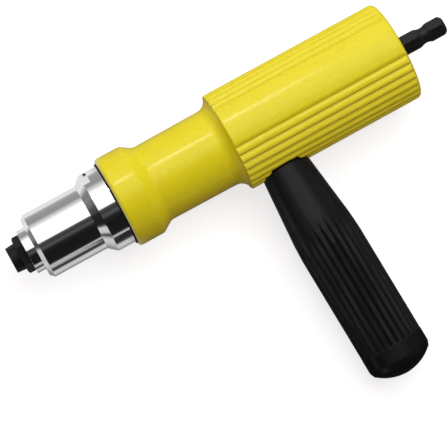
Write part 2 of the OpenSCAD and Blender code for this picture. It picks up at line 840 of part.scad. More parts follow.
module jaw_pusher() {
  bore_r = pusher_bore_d / 2;
  nose_r = jaw_back_r - play;
  nose_x = pusher_x - (nose_r - bore_r) / tan(pusher_nose_angle);
  color("gray") lie() turned() polygon([
    [bore_r, nose_x],
    [nose_r, pusher_x],
    [pusher_r, pusher_x],
    [pusher_r, pusher_flange_end],
    [pusher_tube_d / 2, pusher_flange_end],
    [pusher_tube_d / 2, pusher_end],
    [bore_r, pusher_end]
  ]);
}

// Coil spring: rings of the wire's section, swept along a helix
spring_sides = 8;
spring_steps = 18;
spring_rings = spring_turns * spring_steps;
spring_wire_r = spring_wire_d / 2;
spring_coil_r = spring_d / 2 - spring_wire_r;
spring_rise = spring_seat_x - pusher_flange_end - spring_wire_d - 2 * play;

function spring_point(ring, side) =
  let (turn = ring * 360 / spring_steps,
       around = side * 360 / spring_sides,
       r = spring_coil_r + spring_wire_r * cos(around),
       x = pusher_flange_end + play + spring_wire_r + spring_rise * ring / spring_rings)
  [x + spring_wire_r * sin(around), r * cos(turn), r * sin(turn)];

module jaw_spring() {
  points = [for (ring = [0 : spring_rings]) for (side = [0 : spring_sides - 1]) spring_point(ring, side)];
  last = spring_rings * spring_sides;
  walls = [for (ring = [0 : spring_rings - 1]) for (side = [0 : spring_sides - 1])
    let (a = ring * spring_sides + side,
         b = ring * spring_sides + (side + 1) % spring_sides)
    [a, a + spring_sides, b + spring_sides, b]];
  caps = [[for (side = [0 : spring_sides - 1]) side],
          [for (side = [spring_sides - 1 : -1 : 0]) last + side]];
  color("lightgray") lie() polyhedron(points = points, faces = concat(walls, caps));
}

module handle_profile() {
  seat = [neck_r, seat_z];
  neck = [handle_r, neck_end_z];
  rim = [rim_r, cap_z];
  difference() {
    polygon([
      [0, seat_z],
      seat,
      neck + neck_soften * unit(seat - neck),
      neck + neck_soften * unit(rim - neck),
      rim,
      [0, cap_z]
    ]);
    blend(seat, [0, seat_z], neck, neck_edge_r);
  }
}

// Section of the handle's ribbed length. The first rib stands a share of the pitch off the shank's side.
module handle_section() {
  circle(r = handle_r - handle_rib_depth);
  for (i = [0 : handle_ribs - 1])
    rotate((i + first_rib) * 360 / handle_ribs)
      translate([handle_r + rib_proud - handle_rib_r, 0]) circle(r = handle_rib_r);
}

module handle_grip() {
  color("dimgray") lie() at_handle() difference() {
    rotate_extrude() handle_profile();
    translate([0, 0, ribs_z0]) linear_extrude(ribs_z1 - ribs_z0) difference() {
      circle(r = handle_r + over);
      handle_section();
    }
    translate([0, 0, seat_z - over]) cylinder(h = stud_wall + 2 * over, r = stud_d / 2 + free_gap);
    translate([0, 0, washer_z]) cylinder(h = handle_len, r = hollow_r);
  }
}

module handle_stud() {
  color("silver") lie() at_handle() union() {
    translate([0, 0, stud_tip_z]) cylinder(h = head_z + over - stud_tip_z, r = stud_d / 2);
    translate([0, 0, head_z]) linear_extrude(stud_head_h) hexagon(stud_head_af);
  }
}

module handle_washer() {
  color("silver") lie() at_handle() translate([0, 0, washer_z]) difference() {
    cylinder(h = stud_washer_t, r = hollow_r - free_gap);
    translate([0, 0, -over]) cylinder(h = stud_washer_t + 2 * over, r = stud_d / 2 + free_gap);
  }
}

module handle_cap() {
  color("dimgray") lie() at_handle() rotate_extrude() union() {
    translate([0, cap_z - cap_plug_len]) square([hollow_r - run_gap, cap_plug_len]);
    translate([0, cap_z]) square([rim_r - seam_w, seam_w]);
    polygon([[0, rim_z], [rim_r, rim_z], [cap_top_r, dome_z], [0, dome_z]]);
    intersection() {
      translate([0, handle_end_z - handle_dome_r]) circle(r = handle_dome_r);
      translate([0, dome_z]) square([dome_base_r, handle_dome_r]);
    }
  }
}

body_shell();
front_sleeve();
sleeve_gasket();
nosepiece();
rear_plug();
rear_bush();
fixed_race();
handle_grip();
handle_stud();
handle_washer();
handle_cap();
drive_spindle();
turning_race();
play_washer();
ball_cage();
bearing_balls();
pull_tube();
drive_nut();
guide_key();
jaw_case();
jaw_1();
jaw_2();
jaw_3();
jaw_pusher();
jaw_spring();
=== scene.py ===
"""Finishes, small pieces and studio for a rivet drill adapter, laid out as a Blender add-on."""
import math

import bmesh
import bpy
from bpy.props import FloatProperty, FloatVectorProperty, IntProperty, PointerProperty
from mathutils import Matrix, Vector


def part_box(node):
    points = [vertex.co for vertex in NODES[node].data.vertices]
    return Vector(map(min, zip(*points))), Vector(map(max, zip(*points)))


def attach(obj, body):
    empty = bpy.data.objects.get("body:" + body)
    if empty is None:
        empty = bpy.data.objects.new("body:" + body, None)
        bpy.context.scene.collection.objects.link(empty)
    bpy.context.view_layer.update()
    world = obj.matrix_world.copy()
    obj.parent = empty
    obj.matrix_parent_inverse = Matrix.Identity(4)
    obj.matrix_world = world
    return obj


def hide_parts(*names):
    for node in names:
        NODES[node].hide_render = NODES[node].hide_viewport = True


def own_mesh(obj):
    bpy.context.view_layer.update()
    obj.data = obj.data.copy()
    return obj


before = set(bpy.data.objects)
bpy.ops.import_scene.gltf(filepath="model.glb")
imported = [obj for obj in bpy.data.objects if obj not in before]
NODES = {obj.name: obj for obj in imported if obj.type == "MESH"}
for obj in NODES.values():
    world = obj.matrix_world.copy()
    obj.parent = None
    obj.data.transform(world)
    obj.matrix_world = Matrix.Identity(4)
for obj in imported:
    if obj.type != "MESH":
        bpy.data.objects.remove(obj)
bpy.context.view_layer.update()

bl_info = {
    "name": "Rivet Drill Adapter Looks",
    "version": (1, 0, 0),
    "blender": (4, 5, 0),
    "location": "3D View > Sidebar > Adapter",
    "description": "Finishes and small pieces for a drill attachment that pulls blind rivets",
    "category": "Object",
}

MM = 0.001
X_AXIS = Vector((1, 0, 0))
Z_AXIS = Vector((0, 0, 1))

# Where the photograph was taken from, what it looks at, how far it is rolled, its width in pixels, and the
# camera's sensor in millimetres
CAMERA_SPOT = Vector((6.136, -110.0, 1113.224)) * MM
CAMERA_AIM = Vector((86.957, -26.639, 0)) * MM
CAMERA_ROLL = math.radians(29.0318)
IMAGE_WIDTH = 448
SENSOR_WIDTH = 36

# Pairs of places between which a finish changes. X, Y or Z says along which axis. The others are distances
# from the barrel's axis or, on the handle, from the handle's own.
# Along the barrel, where the painted highlight on the collar's lip fades out
COLLAR_LIP_X = (50.2 * MM, 51.0 * MM)
GRIP_START_X = (102.6 * MM, 103.6 * MM)
# Across the barrel, the painted shade in the grip's valleys fades from the handle's side towards the far
# side
GRIP_SHADED_Y = (-6 * MM, 10 * MM)
# Across the barrel, where the painted highlight on the grip's crests comes in beside the handle
GRIP_HIGHLIGHT_Y = (-5 * MM, -9 * MM)
GRIP_FLANKS = (21.3 * MM, 21.9 * MM)
GRIP_CRESTS = (21.8 * MM, 22.1 * MM)
# Where the painted shade in the corner of the sleeve's flat lies, along the barrel, upwards and from its
# axis
FLAT_CORNER_X = (43.0 * MM, 43.4 * MM)
FLAT_END_X = (44.4 * MM, 44.5 * MM)
FLAT_CORNER_Z = (4.2 * MM, 5.4 * MM)
FLAT_FACE = (17.55 * MM, 17.75 * MM)
THREAD_END_X = (156.6 * MM, 157.0 * MM)
SHANK_START_X = (184.4 * MM, 184.8 * MM)
HANDLE_FLANKS = (13.35 * MM, 13.75 * MM)
HANDLE_CRESTS = (13.75 * MM, 14.08 * MM)

# Lengths over which the handle's ribs fade out, towards its end and towards the barrel
RIBS_FADE_TOP = 0.6 * MM
RIBS_FADE_FOOT = 9 * MM

# The paint's wider waves, in times the peel's size, and the relief of both kinds, in times its depth
WIDE_PEEL_SIZE = 3.2
PEEL_RELIEF = 2.2
WIDE_PEEL_RELIEF = 4.5

# The lathe's marks on the steel inside, in times those on the sleeve
COARSE_TURNING = 1.5

# Colours that the finishes inside are made of, and those that age, oil and wear mix into a finish. Two are
# painted light: a painted highlight on the collar's lip and painted shade in the corner of the sleeve's
# flat.
GROUND_STEEL = (0.7, 0.7, 0.72)
ZINC = (0.62, 0.62, 0.6)
BRONZE = (0.55, 0.36, 0.16)
# Painted highlight on the collar's lip
LIP_HIGHLIGHT = (0.84, 0.8, 0.5)
PALE_SPECK = (0.9, 0.8, 0.1)
WORN_PAINT = (0.95, 0.86, 0.16)
# Painted shade in the front corner of the sleeve's flat
FLAT_CORNER_SHADE = (0.02, 0.02, 0.02)
OXIDE_MOTTLE = (0.011, 0.011, 0.012)
OXIDE_WORN = (0.14, 0.135, 0.13)
SHANK_MOTTLE = (0.02, 0.02, 0.021)
SHANK_WORN = (0.2, 0.19, 0.18)
JOURNAL_HAZE = (0.36, 0.355, 0.35)
OIL_FILM = (0.33, 0.32, 0.30)
STEEL_WORN = (0.68, 0.68, 0.68)
GROUND_HAZE = (0.58, 0.57, 0.56)
ZINC_BLOOM = (0.52, 0.53, 0.55)
ZINC_WORN = (0.78, 0.78, 0.77)
BRONZE_PATINA = (0.40, 0.25, 0.12)
RUBBER_BLOOM = (0.010, 0.0095, 0.009)
PLASTIC_WORN = (0.035, 0.035, 0.035)

# Samples of a rounded edge
EDGE_SAMPLES = 8

# The spring's wire: its sides, and its steps in one turn
WIRE_SIDES = 12
STEPS_A_TURN = 36

# The gasket's bead: its sides, and the share of its radius that is sunk in the gasket
BEAD_SIDES = 14
BEAD_SUNK = 0.35

# The moulding mark: its steps, how far it is sunk in the cap, and its profile, in shares of its radius and
# heights in metres
GATE_STEPS = 64
GATE_SUNK = 0.075 * MM
GATE_PROFILE = [(0.62, -0.12 * MM), (0.66, 0.02 * MM), (0.74, 0.06 * MM), (0.9, 0.05 * MM),
                (1.0, -0.02 * MM), (1.04, -0.2 * MM)]

# Tint of the overhead lamp, tint of the light that comes from the room and off the floor, and the place
# that every lamp faces
COOL = (0.97, 1.0, 1.0)
WARM = (1.0, 0.82, 0.8, 1)
WHITE = (1, 1, 1, 1)
LAMP_AIM = Vector((0.1, 0, 0))

# Strengths of what gloss mirrors of the room and of the floor
ROOM_MIRRORED = 1.22
FLOOR_MIRRORED = 1.15

# The floor: half its width, its gap under the part, its grey for the light that it sends back, and for the
# camera its grey with a glow that grows to white between two distances from the middle of the part
FLOOR_HALF = 3.0
FLOOR_GAP = 0.05 * MM
FLOOR_LIT = 0.47
FLOOR_SEEN = 0.5
FLOOR_GLOW = (0.72, 1.0)
FLOOR_GLOW_REACH = (200 * MM, 400 * MM)
FLOOR_MIDDLE = (100 * MM, -30 * MM, 0)

# Where one set of the floor's greys gives way to the next, in millimetres along and across the barrel.
# Beside the body and around the handle the greys hold a painted shadow of the part.
PAINT_SHADOW_X = (48, 56)
HANDLE_SHADOW_X = (40, 44)
HANDLE_SHADOW_Y = (-80, -95)
NOSE_CARD_X = (-60, -130)

# Greys that gloss mirrors. The room's stops are degrees from upright, positive on the side away from the
# handle. Its ends' stops are parts of a unit direction along the barrel, negative towards the nose. The
# floor's stops are millimetres across the barrel.
WALLS = [(-90, 0.46), (-86, 0.44), (-81.5, 0.02), (-75, 0.009), (-40, 0.008), (-29, 0.014), (-26, 0.03),
         (-23, 0.055), (-17, 0.075), (-12, 0.035), (-6, 0.05), (0, 0.05), (50, 0.1), (64, 0.3), (70, 0.35),
         (78, 0.27), (90, 0.27)]
SOFTBOX = [(-90, 0), (-1.5, 0), (2.5, 1.0), (50, 1.0), (64, 0.3), (75, 0), (90, 0)]
SOFTBOX_ENDS = [(-1, 0.15), (-0.7, 0.2), (-0.45, 1), (0.35, 1), (0.65, 0.2), (1, 0.15)]
FLOOR_BY_CHROME = [(-250, 0.46), (-160, 0.21), (-110, 0.05), (-83, 0.02), (-74, 0.05), (-62, 0.33),
                   (-52, 0.58), (-42, 0.58), (-32, 0.44), (-26, 0.29), (-20, 0.22), (-5, 0.3), (8, 0.7),
                   (16, 0.75), (26, 0.74), (32, 0.72), (42, 0.74), (57, 0.79), (62, 0.75), (80, 0.5),
                   (100, 0.36), (250, 0.3)]
# The floor as the paint and the handle mirror it: darker than the chrome's, a painted shadow of the part on
# the floor
SHADOWED_FLOOR_BY_PAINT = [(-250, 0.02), (-110, 0.02), (-60, 0.08), (-30, 0.08), (0, 0.1), (20, 0.15), (40, 0.2),
                  (60, 0.3), (250, 0.3)]
FLOOR_BEFORE_NOSE = [(-250, 0.6), (-20, 0.55), (30, 0.2), (250, 0.2)]

# The room's end towards the nose: stops of its edge, how that edge slants across the barrel, the shade near
# the axis, and a glimmer in the very end. The last three go from one part of a unit direction to another,
# and from one value to another.
NOSE_END = [(-0.9, 0.3), (-0.7, 1.0)]
NOSE_END_SLANT = (-0.1, 0.1, 0.0, 0.3)
NOSE_END_SHADE = (-0.97, -0.86, 0.2, 1.0)
NOSE_END_GLIMMER = (-0.9, -0.97, 0, 0.014)


# Sizes and colours

class PaintSettings(bpy.types.PropertyGroup):
    """Gloss paint on the barrel casting"""
    colour: FloatVectorProperty(
        name="Paint colour", description="Colour of the barrel's gloss paint",
        subtype="COLOR", size=3, min=0, max=1, default=(0.79, 0.675, 0.012))
    crest: FloatVectorProperty(
        name="Crest colour", description="Colour on the crests of the grip's ribs and on its panels",
        subtype="COLOR", size=3, min=0, max=1, default=(0.79, 0.68, 0.016))
    # Painted shade: the grip's valleys are coloured darker than the paint, most on the handle's side. This
    # colour also tints the paint's random stipple.
    valley: FloatVectorProperty(
        name="Valley colour", description="Colour where the paint lies thicker, in the valleys of the grip",
        subtype="COLOR", size=3, min=0, max=1, default=(0.60, 0.46, 0.008))
    # Painted highlight: the grip's crests beside the handle are coloured paler than the paint.
    crest_highlight: FloatVectorProperty(
        name="Rubbed colour", description="Paler colour on the crests above the handle, rubbed by the hand",
        subtype="COLOR", size=3, min=0, max=1, default=(0.98, 0.86, 0.04))
    peel_size: FloatProperty(
        name="Peel size", description="Width of the waves in the sprayed surface",
        subtype="DISTANCE", unit="LENGTH", default=1.6 * MM)
    peel_depth: FloatProperty(
        name="Peel depth", description="Height of those waves",
        subtype="DISTANCE", unit="LENGTH", default=0.04 * MM)
    roughness: FloatProperty(
        name="Roughness", description="Roughness of the paint where it is clean",
        subtype="FACTOR", min=0, max=1, default=0.16)


class SteelSettings(bpy.types.PropertyGroup):
    """Plated, blackened and machined steel"""
    chrome: FloatVectorProperty(
        name="Chrome colour", description="Colour of the plated sleeve",
        subtype="COLOR", size=3, min=0, max=1, default=(0.86, 0.86, 0.865))
    chrome_roughness: FloatProperty(
        name="Chrome roughness", description="Roughness of the plated sleeve",
        subtype="FACTOR", min=0, max=1, default=0.055)
    oxide: FloatVectorProperty(
        name="Oxide colour", description="Colour of the blackened nosepiece and shank",
        subtype="COLOR", size=3, min=0, max=1, default=(0.006, 0.006, 0.0065))
    machined: FloatVectorProperty(
        name="Machined colour", description="Colour of the turned steel parts inside",
        subtype="COLOR", size=3, min=0, max=1, default=(0.46, 0.46, 0.47))
    turning_pitch: FloatProperty(
        name="Turning pitch", description="Distance between the lathe's marks",
        subtype="DISTANCE", unit="LENGTH", default=0.18 * MM)
    screw_pitch: FloatProperty(
        name="Lead", description="Pitch of the lead screw's thread",
        subtype="DISTANCE", unit="LENGTH", default=2 * MM)
    spring_wire: FloatProperty(
        name="Spring wire", description="Diameter of the jaw spring's wire",
        subtype="DISTANCE", unit="LENGTH", default=1 * MM)
    spring_turns: IntProperty(
        name="Spring turns", description="Turns of the jaw spring", min=2, default=6)


class HandleSettings(bpy.types.PropertyGroup):
    """Moulded side handle"""
    plastic: FloatVectorProperty(
        name="Plastic colour", description="Colour of the moulded handle",
        subtype="COLOR", size=3, min=0, max=1, default=(0.0062, 0.0062, 0.0066))
    grain: FloatProperty(
        name="Grain", description="Size of the mould's fine grain",
        subtype="DISTANCE", unit="LENGTH", default=0.35 * MM)
    ribbed: FloatProperty(
        name="Ribbed length", description="Length of the ribs on the handle",
        subtype="DISTANCE", unit="LENGTH", default=63.8 * MM)
    rim: FloatProperty(
        name="Plain rim", description="Length left plain between the ribs and the handle's end",
        subtype="DISTANCE", unit="LENGTH", default=6 * MM)
    gate_radius: FloatProperty(
        name="Gate radius", description="Radius of the moulding mark in the middle of the cap",
        subtype="DISTANCE", unit="LENGTH", default=1.9 * MM)


class GasketSettings(bpy.types.PropertyGroup):
    """Rubber ring between sleeve and barrel"""
    rubber: FloatVectorProperty(
        name="Rubber colour", description="Colour of the gasket",
        subtype="COLOR", size=3, min=0, max=1, default=(0.004, 0.004, 0.004))
    bead: FloatProperty(
        name="Bead radius", description="Radius of the rounded bead on the gasket's rim",
        subtype="DISTANCE", unit="LENGTH", default=0.3 * MM)
    steps: IntProperty(
        name="Bead steps", description="Steps around the bead", min=32, default=160)


class StudioSettings(bpy.types.PropertyGroup):
    """Lamps, room and camera"""
    overhead: FloatProperty(
        name="Overhead lamp", description="Power of the wide lamp above the part",
        subtype="POWER", unit="POWER", default=8.5)
    side: FloatProperty(
        name="Side lamp", description="Power of the wide lamp on the far side",
        subtype="POWER", unit="POWER", default=3.7)
    strip: FloatProperty(
        name="Strip lamp", description="Power of the narrow lamp that draws the highlight on the paint",
        subtype="POWER", unit="POWER", default=0.28)
    nose: FloatProperty(
        name="Nose lamp", description="Power of the weak lamp beyond the nose",
        subtype="POWER", unit="POWER", default=1.1)
    fill: FloatProperty(
        name="Room light", description="Strength of the even light from the room",
        min=0, default=0.25)
    focal: FloatProperty(
        name="Focal length", description="Focal length in pixels of the photograph",
        subtype="PIXEL", default=2665.86)


class AdapterSettings(bpy.types.PropertyGroup):
    """Everything that a user would change"""
    paint: PointerProperty(type=PaintSettings)
    steel: PointerProperty(type=SteelSettings)
    handle: PointerProperty(type=HandleSettings)
    gasket: PointerProperty(type=GasketSettings)
    studio: PointerProperty(type=StudioSettings)


# Materials

def shade(colour, factor):
    """A colour made darker or lighter."""
    return [part * factor for part in colour]


class Wiring:
    """Short ways to add and join the nodes of one node tree."""

    def __init__(self, tree):
        self.nodes = tree.nodes
        self.links = tree.links

    def add(self, kind):
        return self.nodes.new("ShaderNode" + kind)

    def feed(self, socket, value):
        """Joins an output to a socket, or writes a plain value into it."""
        if isinstance(value, bpy.types.NodeSocket):
            self.links.new(value, socket)
        else:
            socket.default_value = value

    def math(self, operation, a, b=0.0):
        node = self.add("Math")
        node.operation = operation
        self.feed(node.inputs[0], a)
        self.feed(node.inputs[1], b)
        return node.outputs[0]

    def times(self, a, b):
        return self.math("MULTIPLY", a, b)

    def plus(self, a, b):
        return self.math("ADD", a, b)

    def ramp(self, value, low, high, out_low=0.0, out_high=1.0):
        """Runs from out_low to out_high as a value goes from low to high, and stays within them."""
        node = self.add("MapRange")
        self.feed(node.inputs["Value"], value)
        ends = {"From Min": low, "From Max": high, "To Min": out_low, "To Max": out_high}
        for key, number in ends.items():
            node.inputs[key].default_value = number
        return node.outputs[0]

    def mix(self, factor, a, b):
        """Colour a where the factor is 0, and b where it is 1."""
        node = self.add("Mix")
        node.data_type = "RGBA"
        self.feed(node.inputs[0], factor)
        for socket, value in ((node.inputs[6], a), (node.inputs[7], b)):
            self.feed(socket, value if isinstance(value, bpy.types.NodeSocket) else (*value[:3], 1))
        return node.outputs[2]

    def vector(self, operation, a, b=(0, 0, 0), out="Vector"):
        node = self.add("VectorMath")
        node.operation = operation
        self.feed(node.inputs[0], a)
        self.feed(node.inputs[1], b)
        return node.outputs[out]

    def part(self, vector, axis):
        """One of the three numbers of a vector."""
        node = self.add("SeparateXYZ")
        self.links.new(vector, node.inputs[0])
        return node.outputs[axis]

    def bands(self, value, stops):
        """Greys over a value, from stops of (value, grey)."""
        node = self.add("ValToRGB")
        low, high = stops[0][0], stops[-1][0]
        self.links.new(self.ramp(value, low, high), node.inputs[0])
        places = [((place - low) / (high - low), (grey, grey, grey, 1)) for place, grey in stops]
        elements = node.color_ramp.elements
        for place, grey in places[1:-1]:
            elements.new(place).color = grey
        elements[0].color, elements[-1].color = places[0][1], places[-1][1]
        return node.outputs[0]

    def glow(self, kind, colour, strength):
        """Background or emission."""
        node = self.add(kind)
        self.feed(node.inputs["Color"], colour)
        self.feed(node.inputs["Strength"], strength)
        return node.outputs[0]

    def matt(self, level, tint=WHITE):
        """A matt surface of a grey level, or of a tint at that level."""
        node = self.add("BsdfDiffuse")
        node.inputs["Color"].default_value = (*shade(tint[:3], level), 1)
        return node.outputs[0]

    def either(self, factor, off, on):
        """One shader where the factor is 0, and the other where it is 1."""
        node = self.add("MixShader")
        for socket, value in zip(node.inputs, (factor, off, on)):
            self.links.new(value, socket)
        return node.outputs[0]

    def by_ray(self, seen, mirrored, lit):
        """What the camera sees, what gloss mirrors, and what lights the rest."""
        path = self.add("LightPath")
        rest = self.either(path.outputs["Is Glossy Ray"], lit, mirrored)
        return self.either(path.outputs["Is Camera Ray"], rest, seen)


class Finish(Wiring):
    """One procedural material on Object coordinates."""

    def __init__(self, name, colour, metallic=0.0, specular=0.5, bevel=0.0):
        self.material = bpy.data.materials.new(name)
        self.material.use_nodes = True
        self.material.diffuse_color = (*colour[:3], 1)
        super().__init__(self.material.node_tree)
        self.shader = self.nodes["Principled BSDF"]
        self.shader.inputs["Base Color"].default_value = (*colour[:3], 1)
        self.shader.inputs["Metallic"].default_value = metallic
        self.shader.inputs["Specular IOR Level"].default_value = specular
        self.place = self.add("TexCoord").outputs["Object"]
        self.normal = self.rounded(bevel) if bevel else None

    def rounded(self, radius):
        """Normal with its edges rounded off."""
        node = self.add("Bevel")
        node.samples = EDGE_SAMPLES
        node.inputs["Radius"].default_value = radius
        return node.outputs[0]

    def stretched(self, stretch, turn=(0, 0, 0)):
        """Place scaled along each axis, and turned."""
        node = self.add("Mapping")
        node.inputs["Scale"].default_value = stretch
        node.inputs["Rotation"].default_value = turn
        self.links.new(self.place, node.inputs["Vector"])
        return node.outputs[0]

    def noise(self, size, detail, roughness=0.5, stretch=None, turn=(0, 0, 0)):
        """Cloudy pattern whose waves are about size metres wide."""
        node = self.add("TexNoise")
        self.links.new(self.stretched(stretch, turn) if stretch else self.place, node.inputs["Vector"])
        node.inputs["Scale"].default_value = 1 / size
        node.inputs["Detail"].default_value = detail
        node.inputs["Roughness"].default_value = roughness
        return node.outputs[0]

    def along(self, axis):
        """Place along one axis, in metres."""
        return self.part(self.place, axis)

    def radius(self):
        """Distance from the barrel's axis, in metres."""
        return self.vector("LENGTH", self.stretched((0, 1, 1)), out="Value")

    def rings(self, pitch):
        """Lathe marks or thread along X: a wave from 0 to 1."""
        return self.ramp(self.math("SINE", self.times(self.along(0), 2 * math.pi / pitch)), -1, 1)

    def edges(self, reach, low=0.02, high=0.3):
        """1 on outer and inner edges within reach, 0 on open faces."""
        sharp = self.add("NewGeometry").outputs["Normal"]
        alike = self.vector("DOT_PRODUCT", self.rounded(reach), sharp, "Value")
        return self.ramp(self.math("SUBTRACT", 1.0, alike), low, high)

    def cover(self, under, over, pattern, low, high, share=1.0):
        """Lays a colour over another where a pattern goes from low to high, as far as share."""
        return self.mix(self.ramp(pattern, low, high, 0, share), under, over)

    def rub(self, under, over, where, share):
        """Rubs a colour through to another where wear is, as far as share."""
        return self.mix(self.times(where, share), under, over)

    def bump(self, height, depth, strength):
        """Relief of depth metres, on top of the relief that is already there."""
        node = self.add("Bump")
        node.inputs["Strength"].default_value = strength
        node.inputs["Distance"].default_value = depth
        self.links.new(height, node.inputs["Height"])
        if self.normal is not None:
            self.links.new(self.normal, node.inputs["Normal"])
        self.normal = node.outputs[0]

    def done(self, colour, roughness, metallic=None):
        """Joins colour, roughness and relief to the shader, and the metal's share where it varies."""
        self.links.new(colour, self.shader.inputs["Base Color"])
        self.links.new(roughness, self.shader.inputs["Roughness"])
        if metallic is not None:
            self.links.new(metallic, self.shader.inputs["Metallic"])
        self.links.new(self.normal, self.shader.inputs["Normal"])
        return self.material


def dress(material, *names):
    """Puts one finish on CAD nodes, whose meshes stay as they are."""
    for name in names:
        slots = NODES[name].data.materials
        for index in range(len(slots)):
            slots[index] = material
        if not slots:
            slots.append(material)


def gloss_paint(settings):
    """Sprayed paint with painted shade in the grip's valleys, strongest on the handle's side, a painted
    highlight on the crests beside the handle, and a painted highlight on the collar's lip.
    """
    finish = Finish("gloss_paint", settings.colour, specular=0.34, bevel=0.25 * MM)
    clouds = finish.noise(14 * MM, detail=4)
    speck = finish.noise(0.5 * MM, detail=2)
    stipple = finish.noise(1.3 * MM, detail=3, roughness=0.6)
    peel = finish.noise(settings.peel_size, detail=2, roughness=0.45)
    wide_peel = finish.noise(settings.peel_size * WIDE_PEEL_SIZE, detail=2)
    grime = finish.noise(5 * MM, detail=6, roughness=0.62)
    rim = finish.edges(0.5 * MM, 0.03, 0.4)
    is_grip = finish.ramp(finish.along(0), *GRIP_START_X)
    valley = finish.times(finish.ramp(finish.radius(), *GRIP_FLANKS, 1, 0), is_grip)
    crest = finish.times(finish.ramp(finish.radius(), *GRIP_CRESTS), is_grip)
    shaded = finish.ramp(finish.along(1), *GRIP_SHADED_Y, 1.0, 0.3)
    crest_highlight = finish.times(finish.ramp(finish.along(1), *GRIP_HIGHLIGHT_Y), crest)
    lip_lit = finish.ramp(finish.along(0), *COLLAR_LIP_X, 0.55, 0)
    worn = finish.times(rim, finish.ramp(grime, 0.45, 0.7, 0.0, 0.16))
    colour = finish.mix(is_grip, settings.colour, settings.crest)
    # Painted shade: the valleys are coloured darker, fully on the handle's side and less on the far side
    colour = finish.mix(finish.times(valley, shaded), colour, settings.valley)
    # Painted highlight on the crests beside the handle
    colour = finish.mix(crest_highlight, colour, settings.crest_highlight)
    # Painted highlight: the collar's lip is coloured paler
    colour = finish.mix(lip_lit, colour, LIP_HIGHLIGHT)
    colour = finish.cover(colour, shade(settings.colour, 0.94), clouds, 0.35, 0.7, share=0.3)
    colour = finish.cover(colour, settings.valley, stipple, 0.45, 0.7, share=0.22)
    colour = finish.cover(colour, PALE_SPECK, speck, 0.6, 0.72, share=0.14)
    colour = finish.mix(worn, colour, WORN_PAINT)
    rough = finish.ramp(grime, 0.3, 0.75, settings.roughness, settings.roughness + 0.1)
    rough = finish.plus(rough, finish.times(valley, 0.12))
    finish.bump(peel, depth=settings.peel_depth * PEEL_RELIEF, strength=0.5)
    finish.bump(wide_peel, depth=settings.peel_depth * WIDE_PEEL_RELIEF, strength=0.5)
    return finish.done(colour, rough)


def plated_chrome(settings):
    """Bright plating over faint lathe marks, with painted shade in the front corner of the flat by the
    handle.
    """
    finish = Finish("plated_chrome", settings.chrome, metallic=1.0, bevel=0.22 * MM)
    lathe = finish.rings(settings.turning_pitch)
    uneven = finish.noise(1.1 * MM, detail=3, stretch=(6, 0.4, 0.4))
    haze = finish.noise(9 * MM, detail=5, roughness=0.6)
    scratch = finish.noise(0.16 * MM, detail=2, stretch=(1, 0.04, 0.04), turn=(0.3, 0, 0.2))
    in_flat = finish.times(finish.ramp(finish.radius(), *FLAT_FACE, 1, 0),
                           finish.ramp(finish.along(2), *FLAT_CORNER_Z, 1, 0))
    corner_shade = finish.times(in_flat, finish.ramp(finish.along(0), *FLAT_CORNER_X))
    corner_shade = finish.times(corner_shade, finish.ramp(finish.along(0), *FLAT_END_X, 1, 0))
    colour = finish.cover(settings.chrome, shade(settings.chrome, 0.93), haze, 0.4, 0.75, share=0.22)
    # Painted shade in the front corner of the flat
    colour = finish.mix(corner_shade, colour, FLAT_CORNER_SHADE)
    rough = finish.ramp(haze, 0.3, 0.75, settings.chrome_roughness, settings.chrome_roughness + 0.05)
    rough = finish.plus(rough, finish.ramp(scratch, 0.66, 0.74, 0, 0.12))
    rough = finish.plus(rough, finish.times(corner_shade, 0.4))
    finish.bump(finish.times(lathe, uneven), depth=0.0012 * MM, strength=0.6)
    finish.bump(uneven, depth=0.004 * MM, strength=0.4)
    return finish.done(colour, rough)


def black_oxide(settings):
    """Blackened steel, mottled, and rubbed pale on its edges."""
    finish = Finish("black_oxide", settings.oxide, specular=0.2, bevel=0.15 * MM)
    mottle = finish.noise(1.6 * MM, detail=5, roughness=0.65)
    grit = finish.noise(0.18 * MM, detail=2)
    wear = finish.times(finish.edges(0.3 * MM), finish.ramp(mottle, 0.42, 0.62))
    colour = finish.cover(settings.oxide, OXIDE_MOTTLE, mottle, 0.35, 0.7, share=0.6)
    colour = finish.rub(colour, OXIDE_WORN, wear, share=0.5)
    finish.bump(grit, depth=0.012 * MM, strength=0.6)
    finish.bump(mottle, depth=0.03 * MM, strength=0.35)
    return finish.done(colour, finish.ramp(mottle, 0.3, 0.7, 0.42, 0.58))


def driven_steel(settings):
    """Bright lead screw with its thread, bright journals, and the blackened hex shank behind them."""
    finish = Finish("driven_steel", settings.oxide, specular=0.42, bevel=0.15 * MM)
    mottle = finish.noise(1.6 * MM, detail=5, roughness=0.65)
    grit = finish.noise(0.18 * MM, detail=2)
    thread = finish.rings(settings.screw_pitch)
    threaded = finish.ramp(finish.along(0), *THREAD_END_X, 1, 0)
    blackened = finish.ramp(finish.along(0), *SHANK_START_X)
    wear = finish.times(finish.edges(0.3 * MM), finish.ramp(mottle, 0.42, 0.62))
    black = finish.cover(settings.oxide, SHANK_MOTTLE, mottle, 0.35, 0.7, share=0.6)
    black = finish.rub(black, SHANK_WORN, wear, share=0.5)
    bright = finish.cover(settings.machined, JOURNAL_HAZE, mottle, 0.35, 0.7, share=0.4)
    rough = finish.plus(finish.ramp(mottle, 0.3, 0.7, 0.26, 0.38), finish.times(blackened, 0.12))
    crests = finish.math("SMOOTH_MIN", thread, 0.7)
    finish.bump(finish.times(crests, threaded), depth=0.7 * MM, strength=0.9)
    finish.bump(grit, depth=0.01 * MM, strength=0.5)
    return finish.done(finish.mix(blackened, bright, black), rough, finish.ramp(blackened, 0, 1, 1, 0.1))


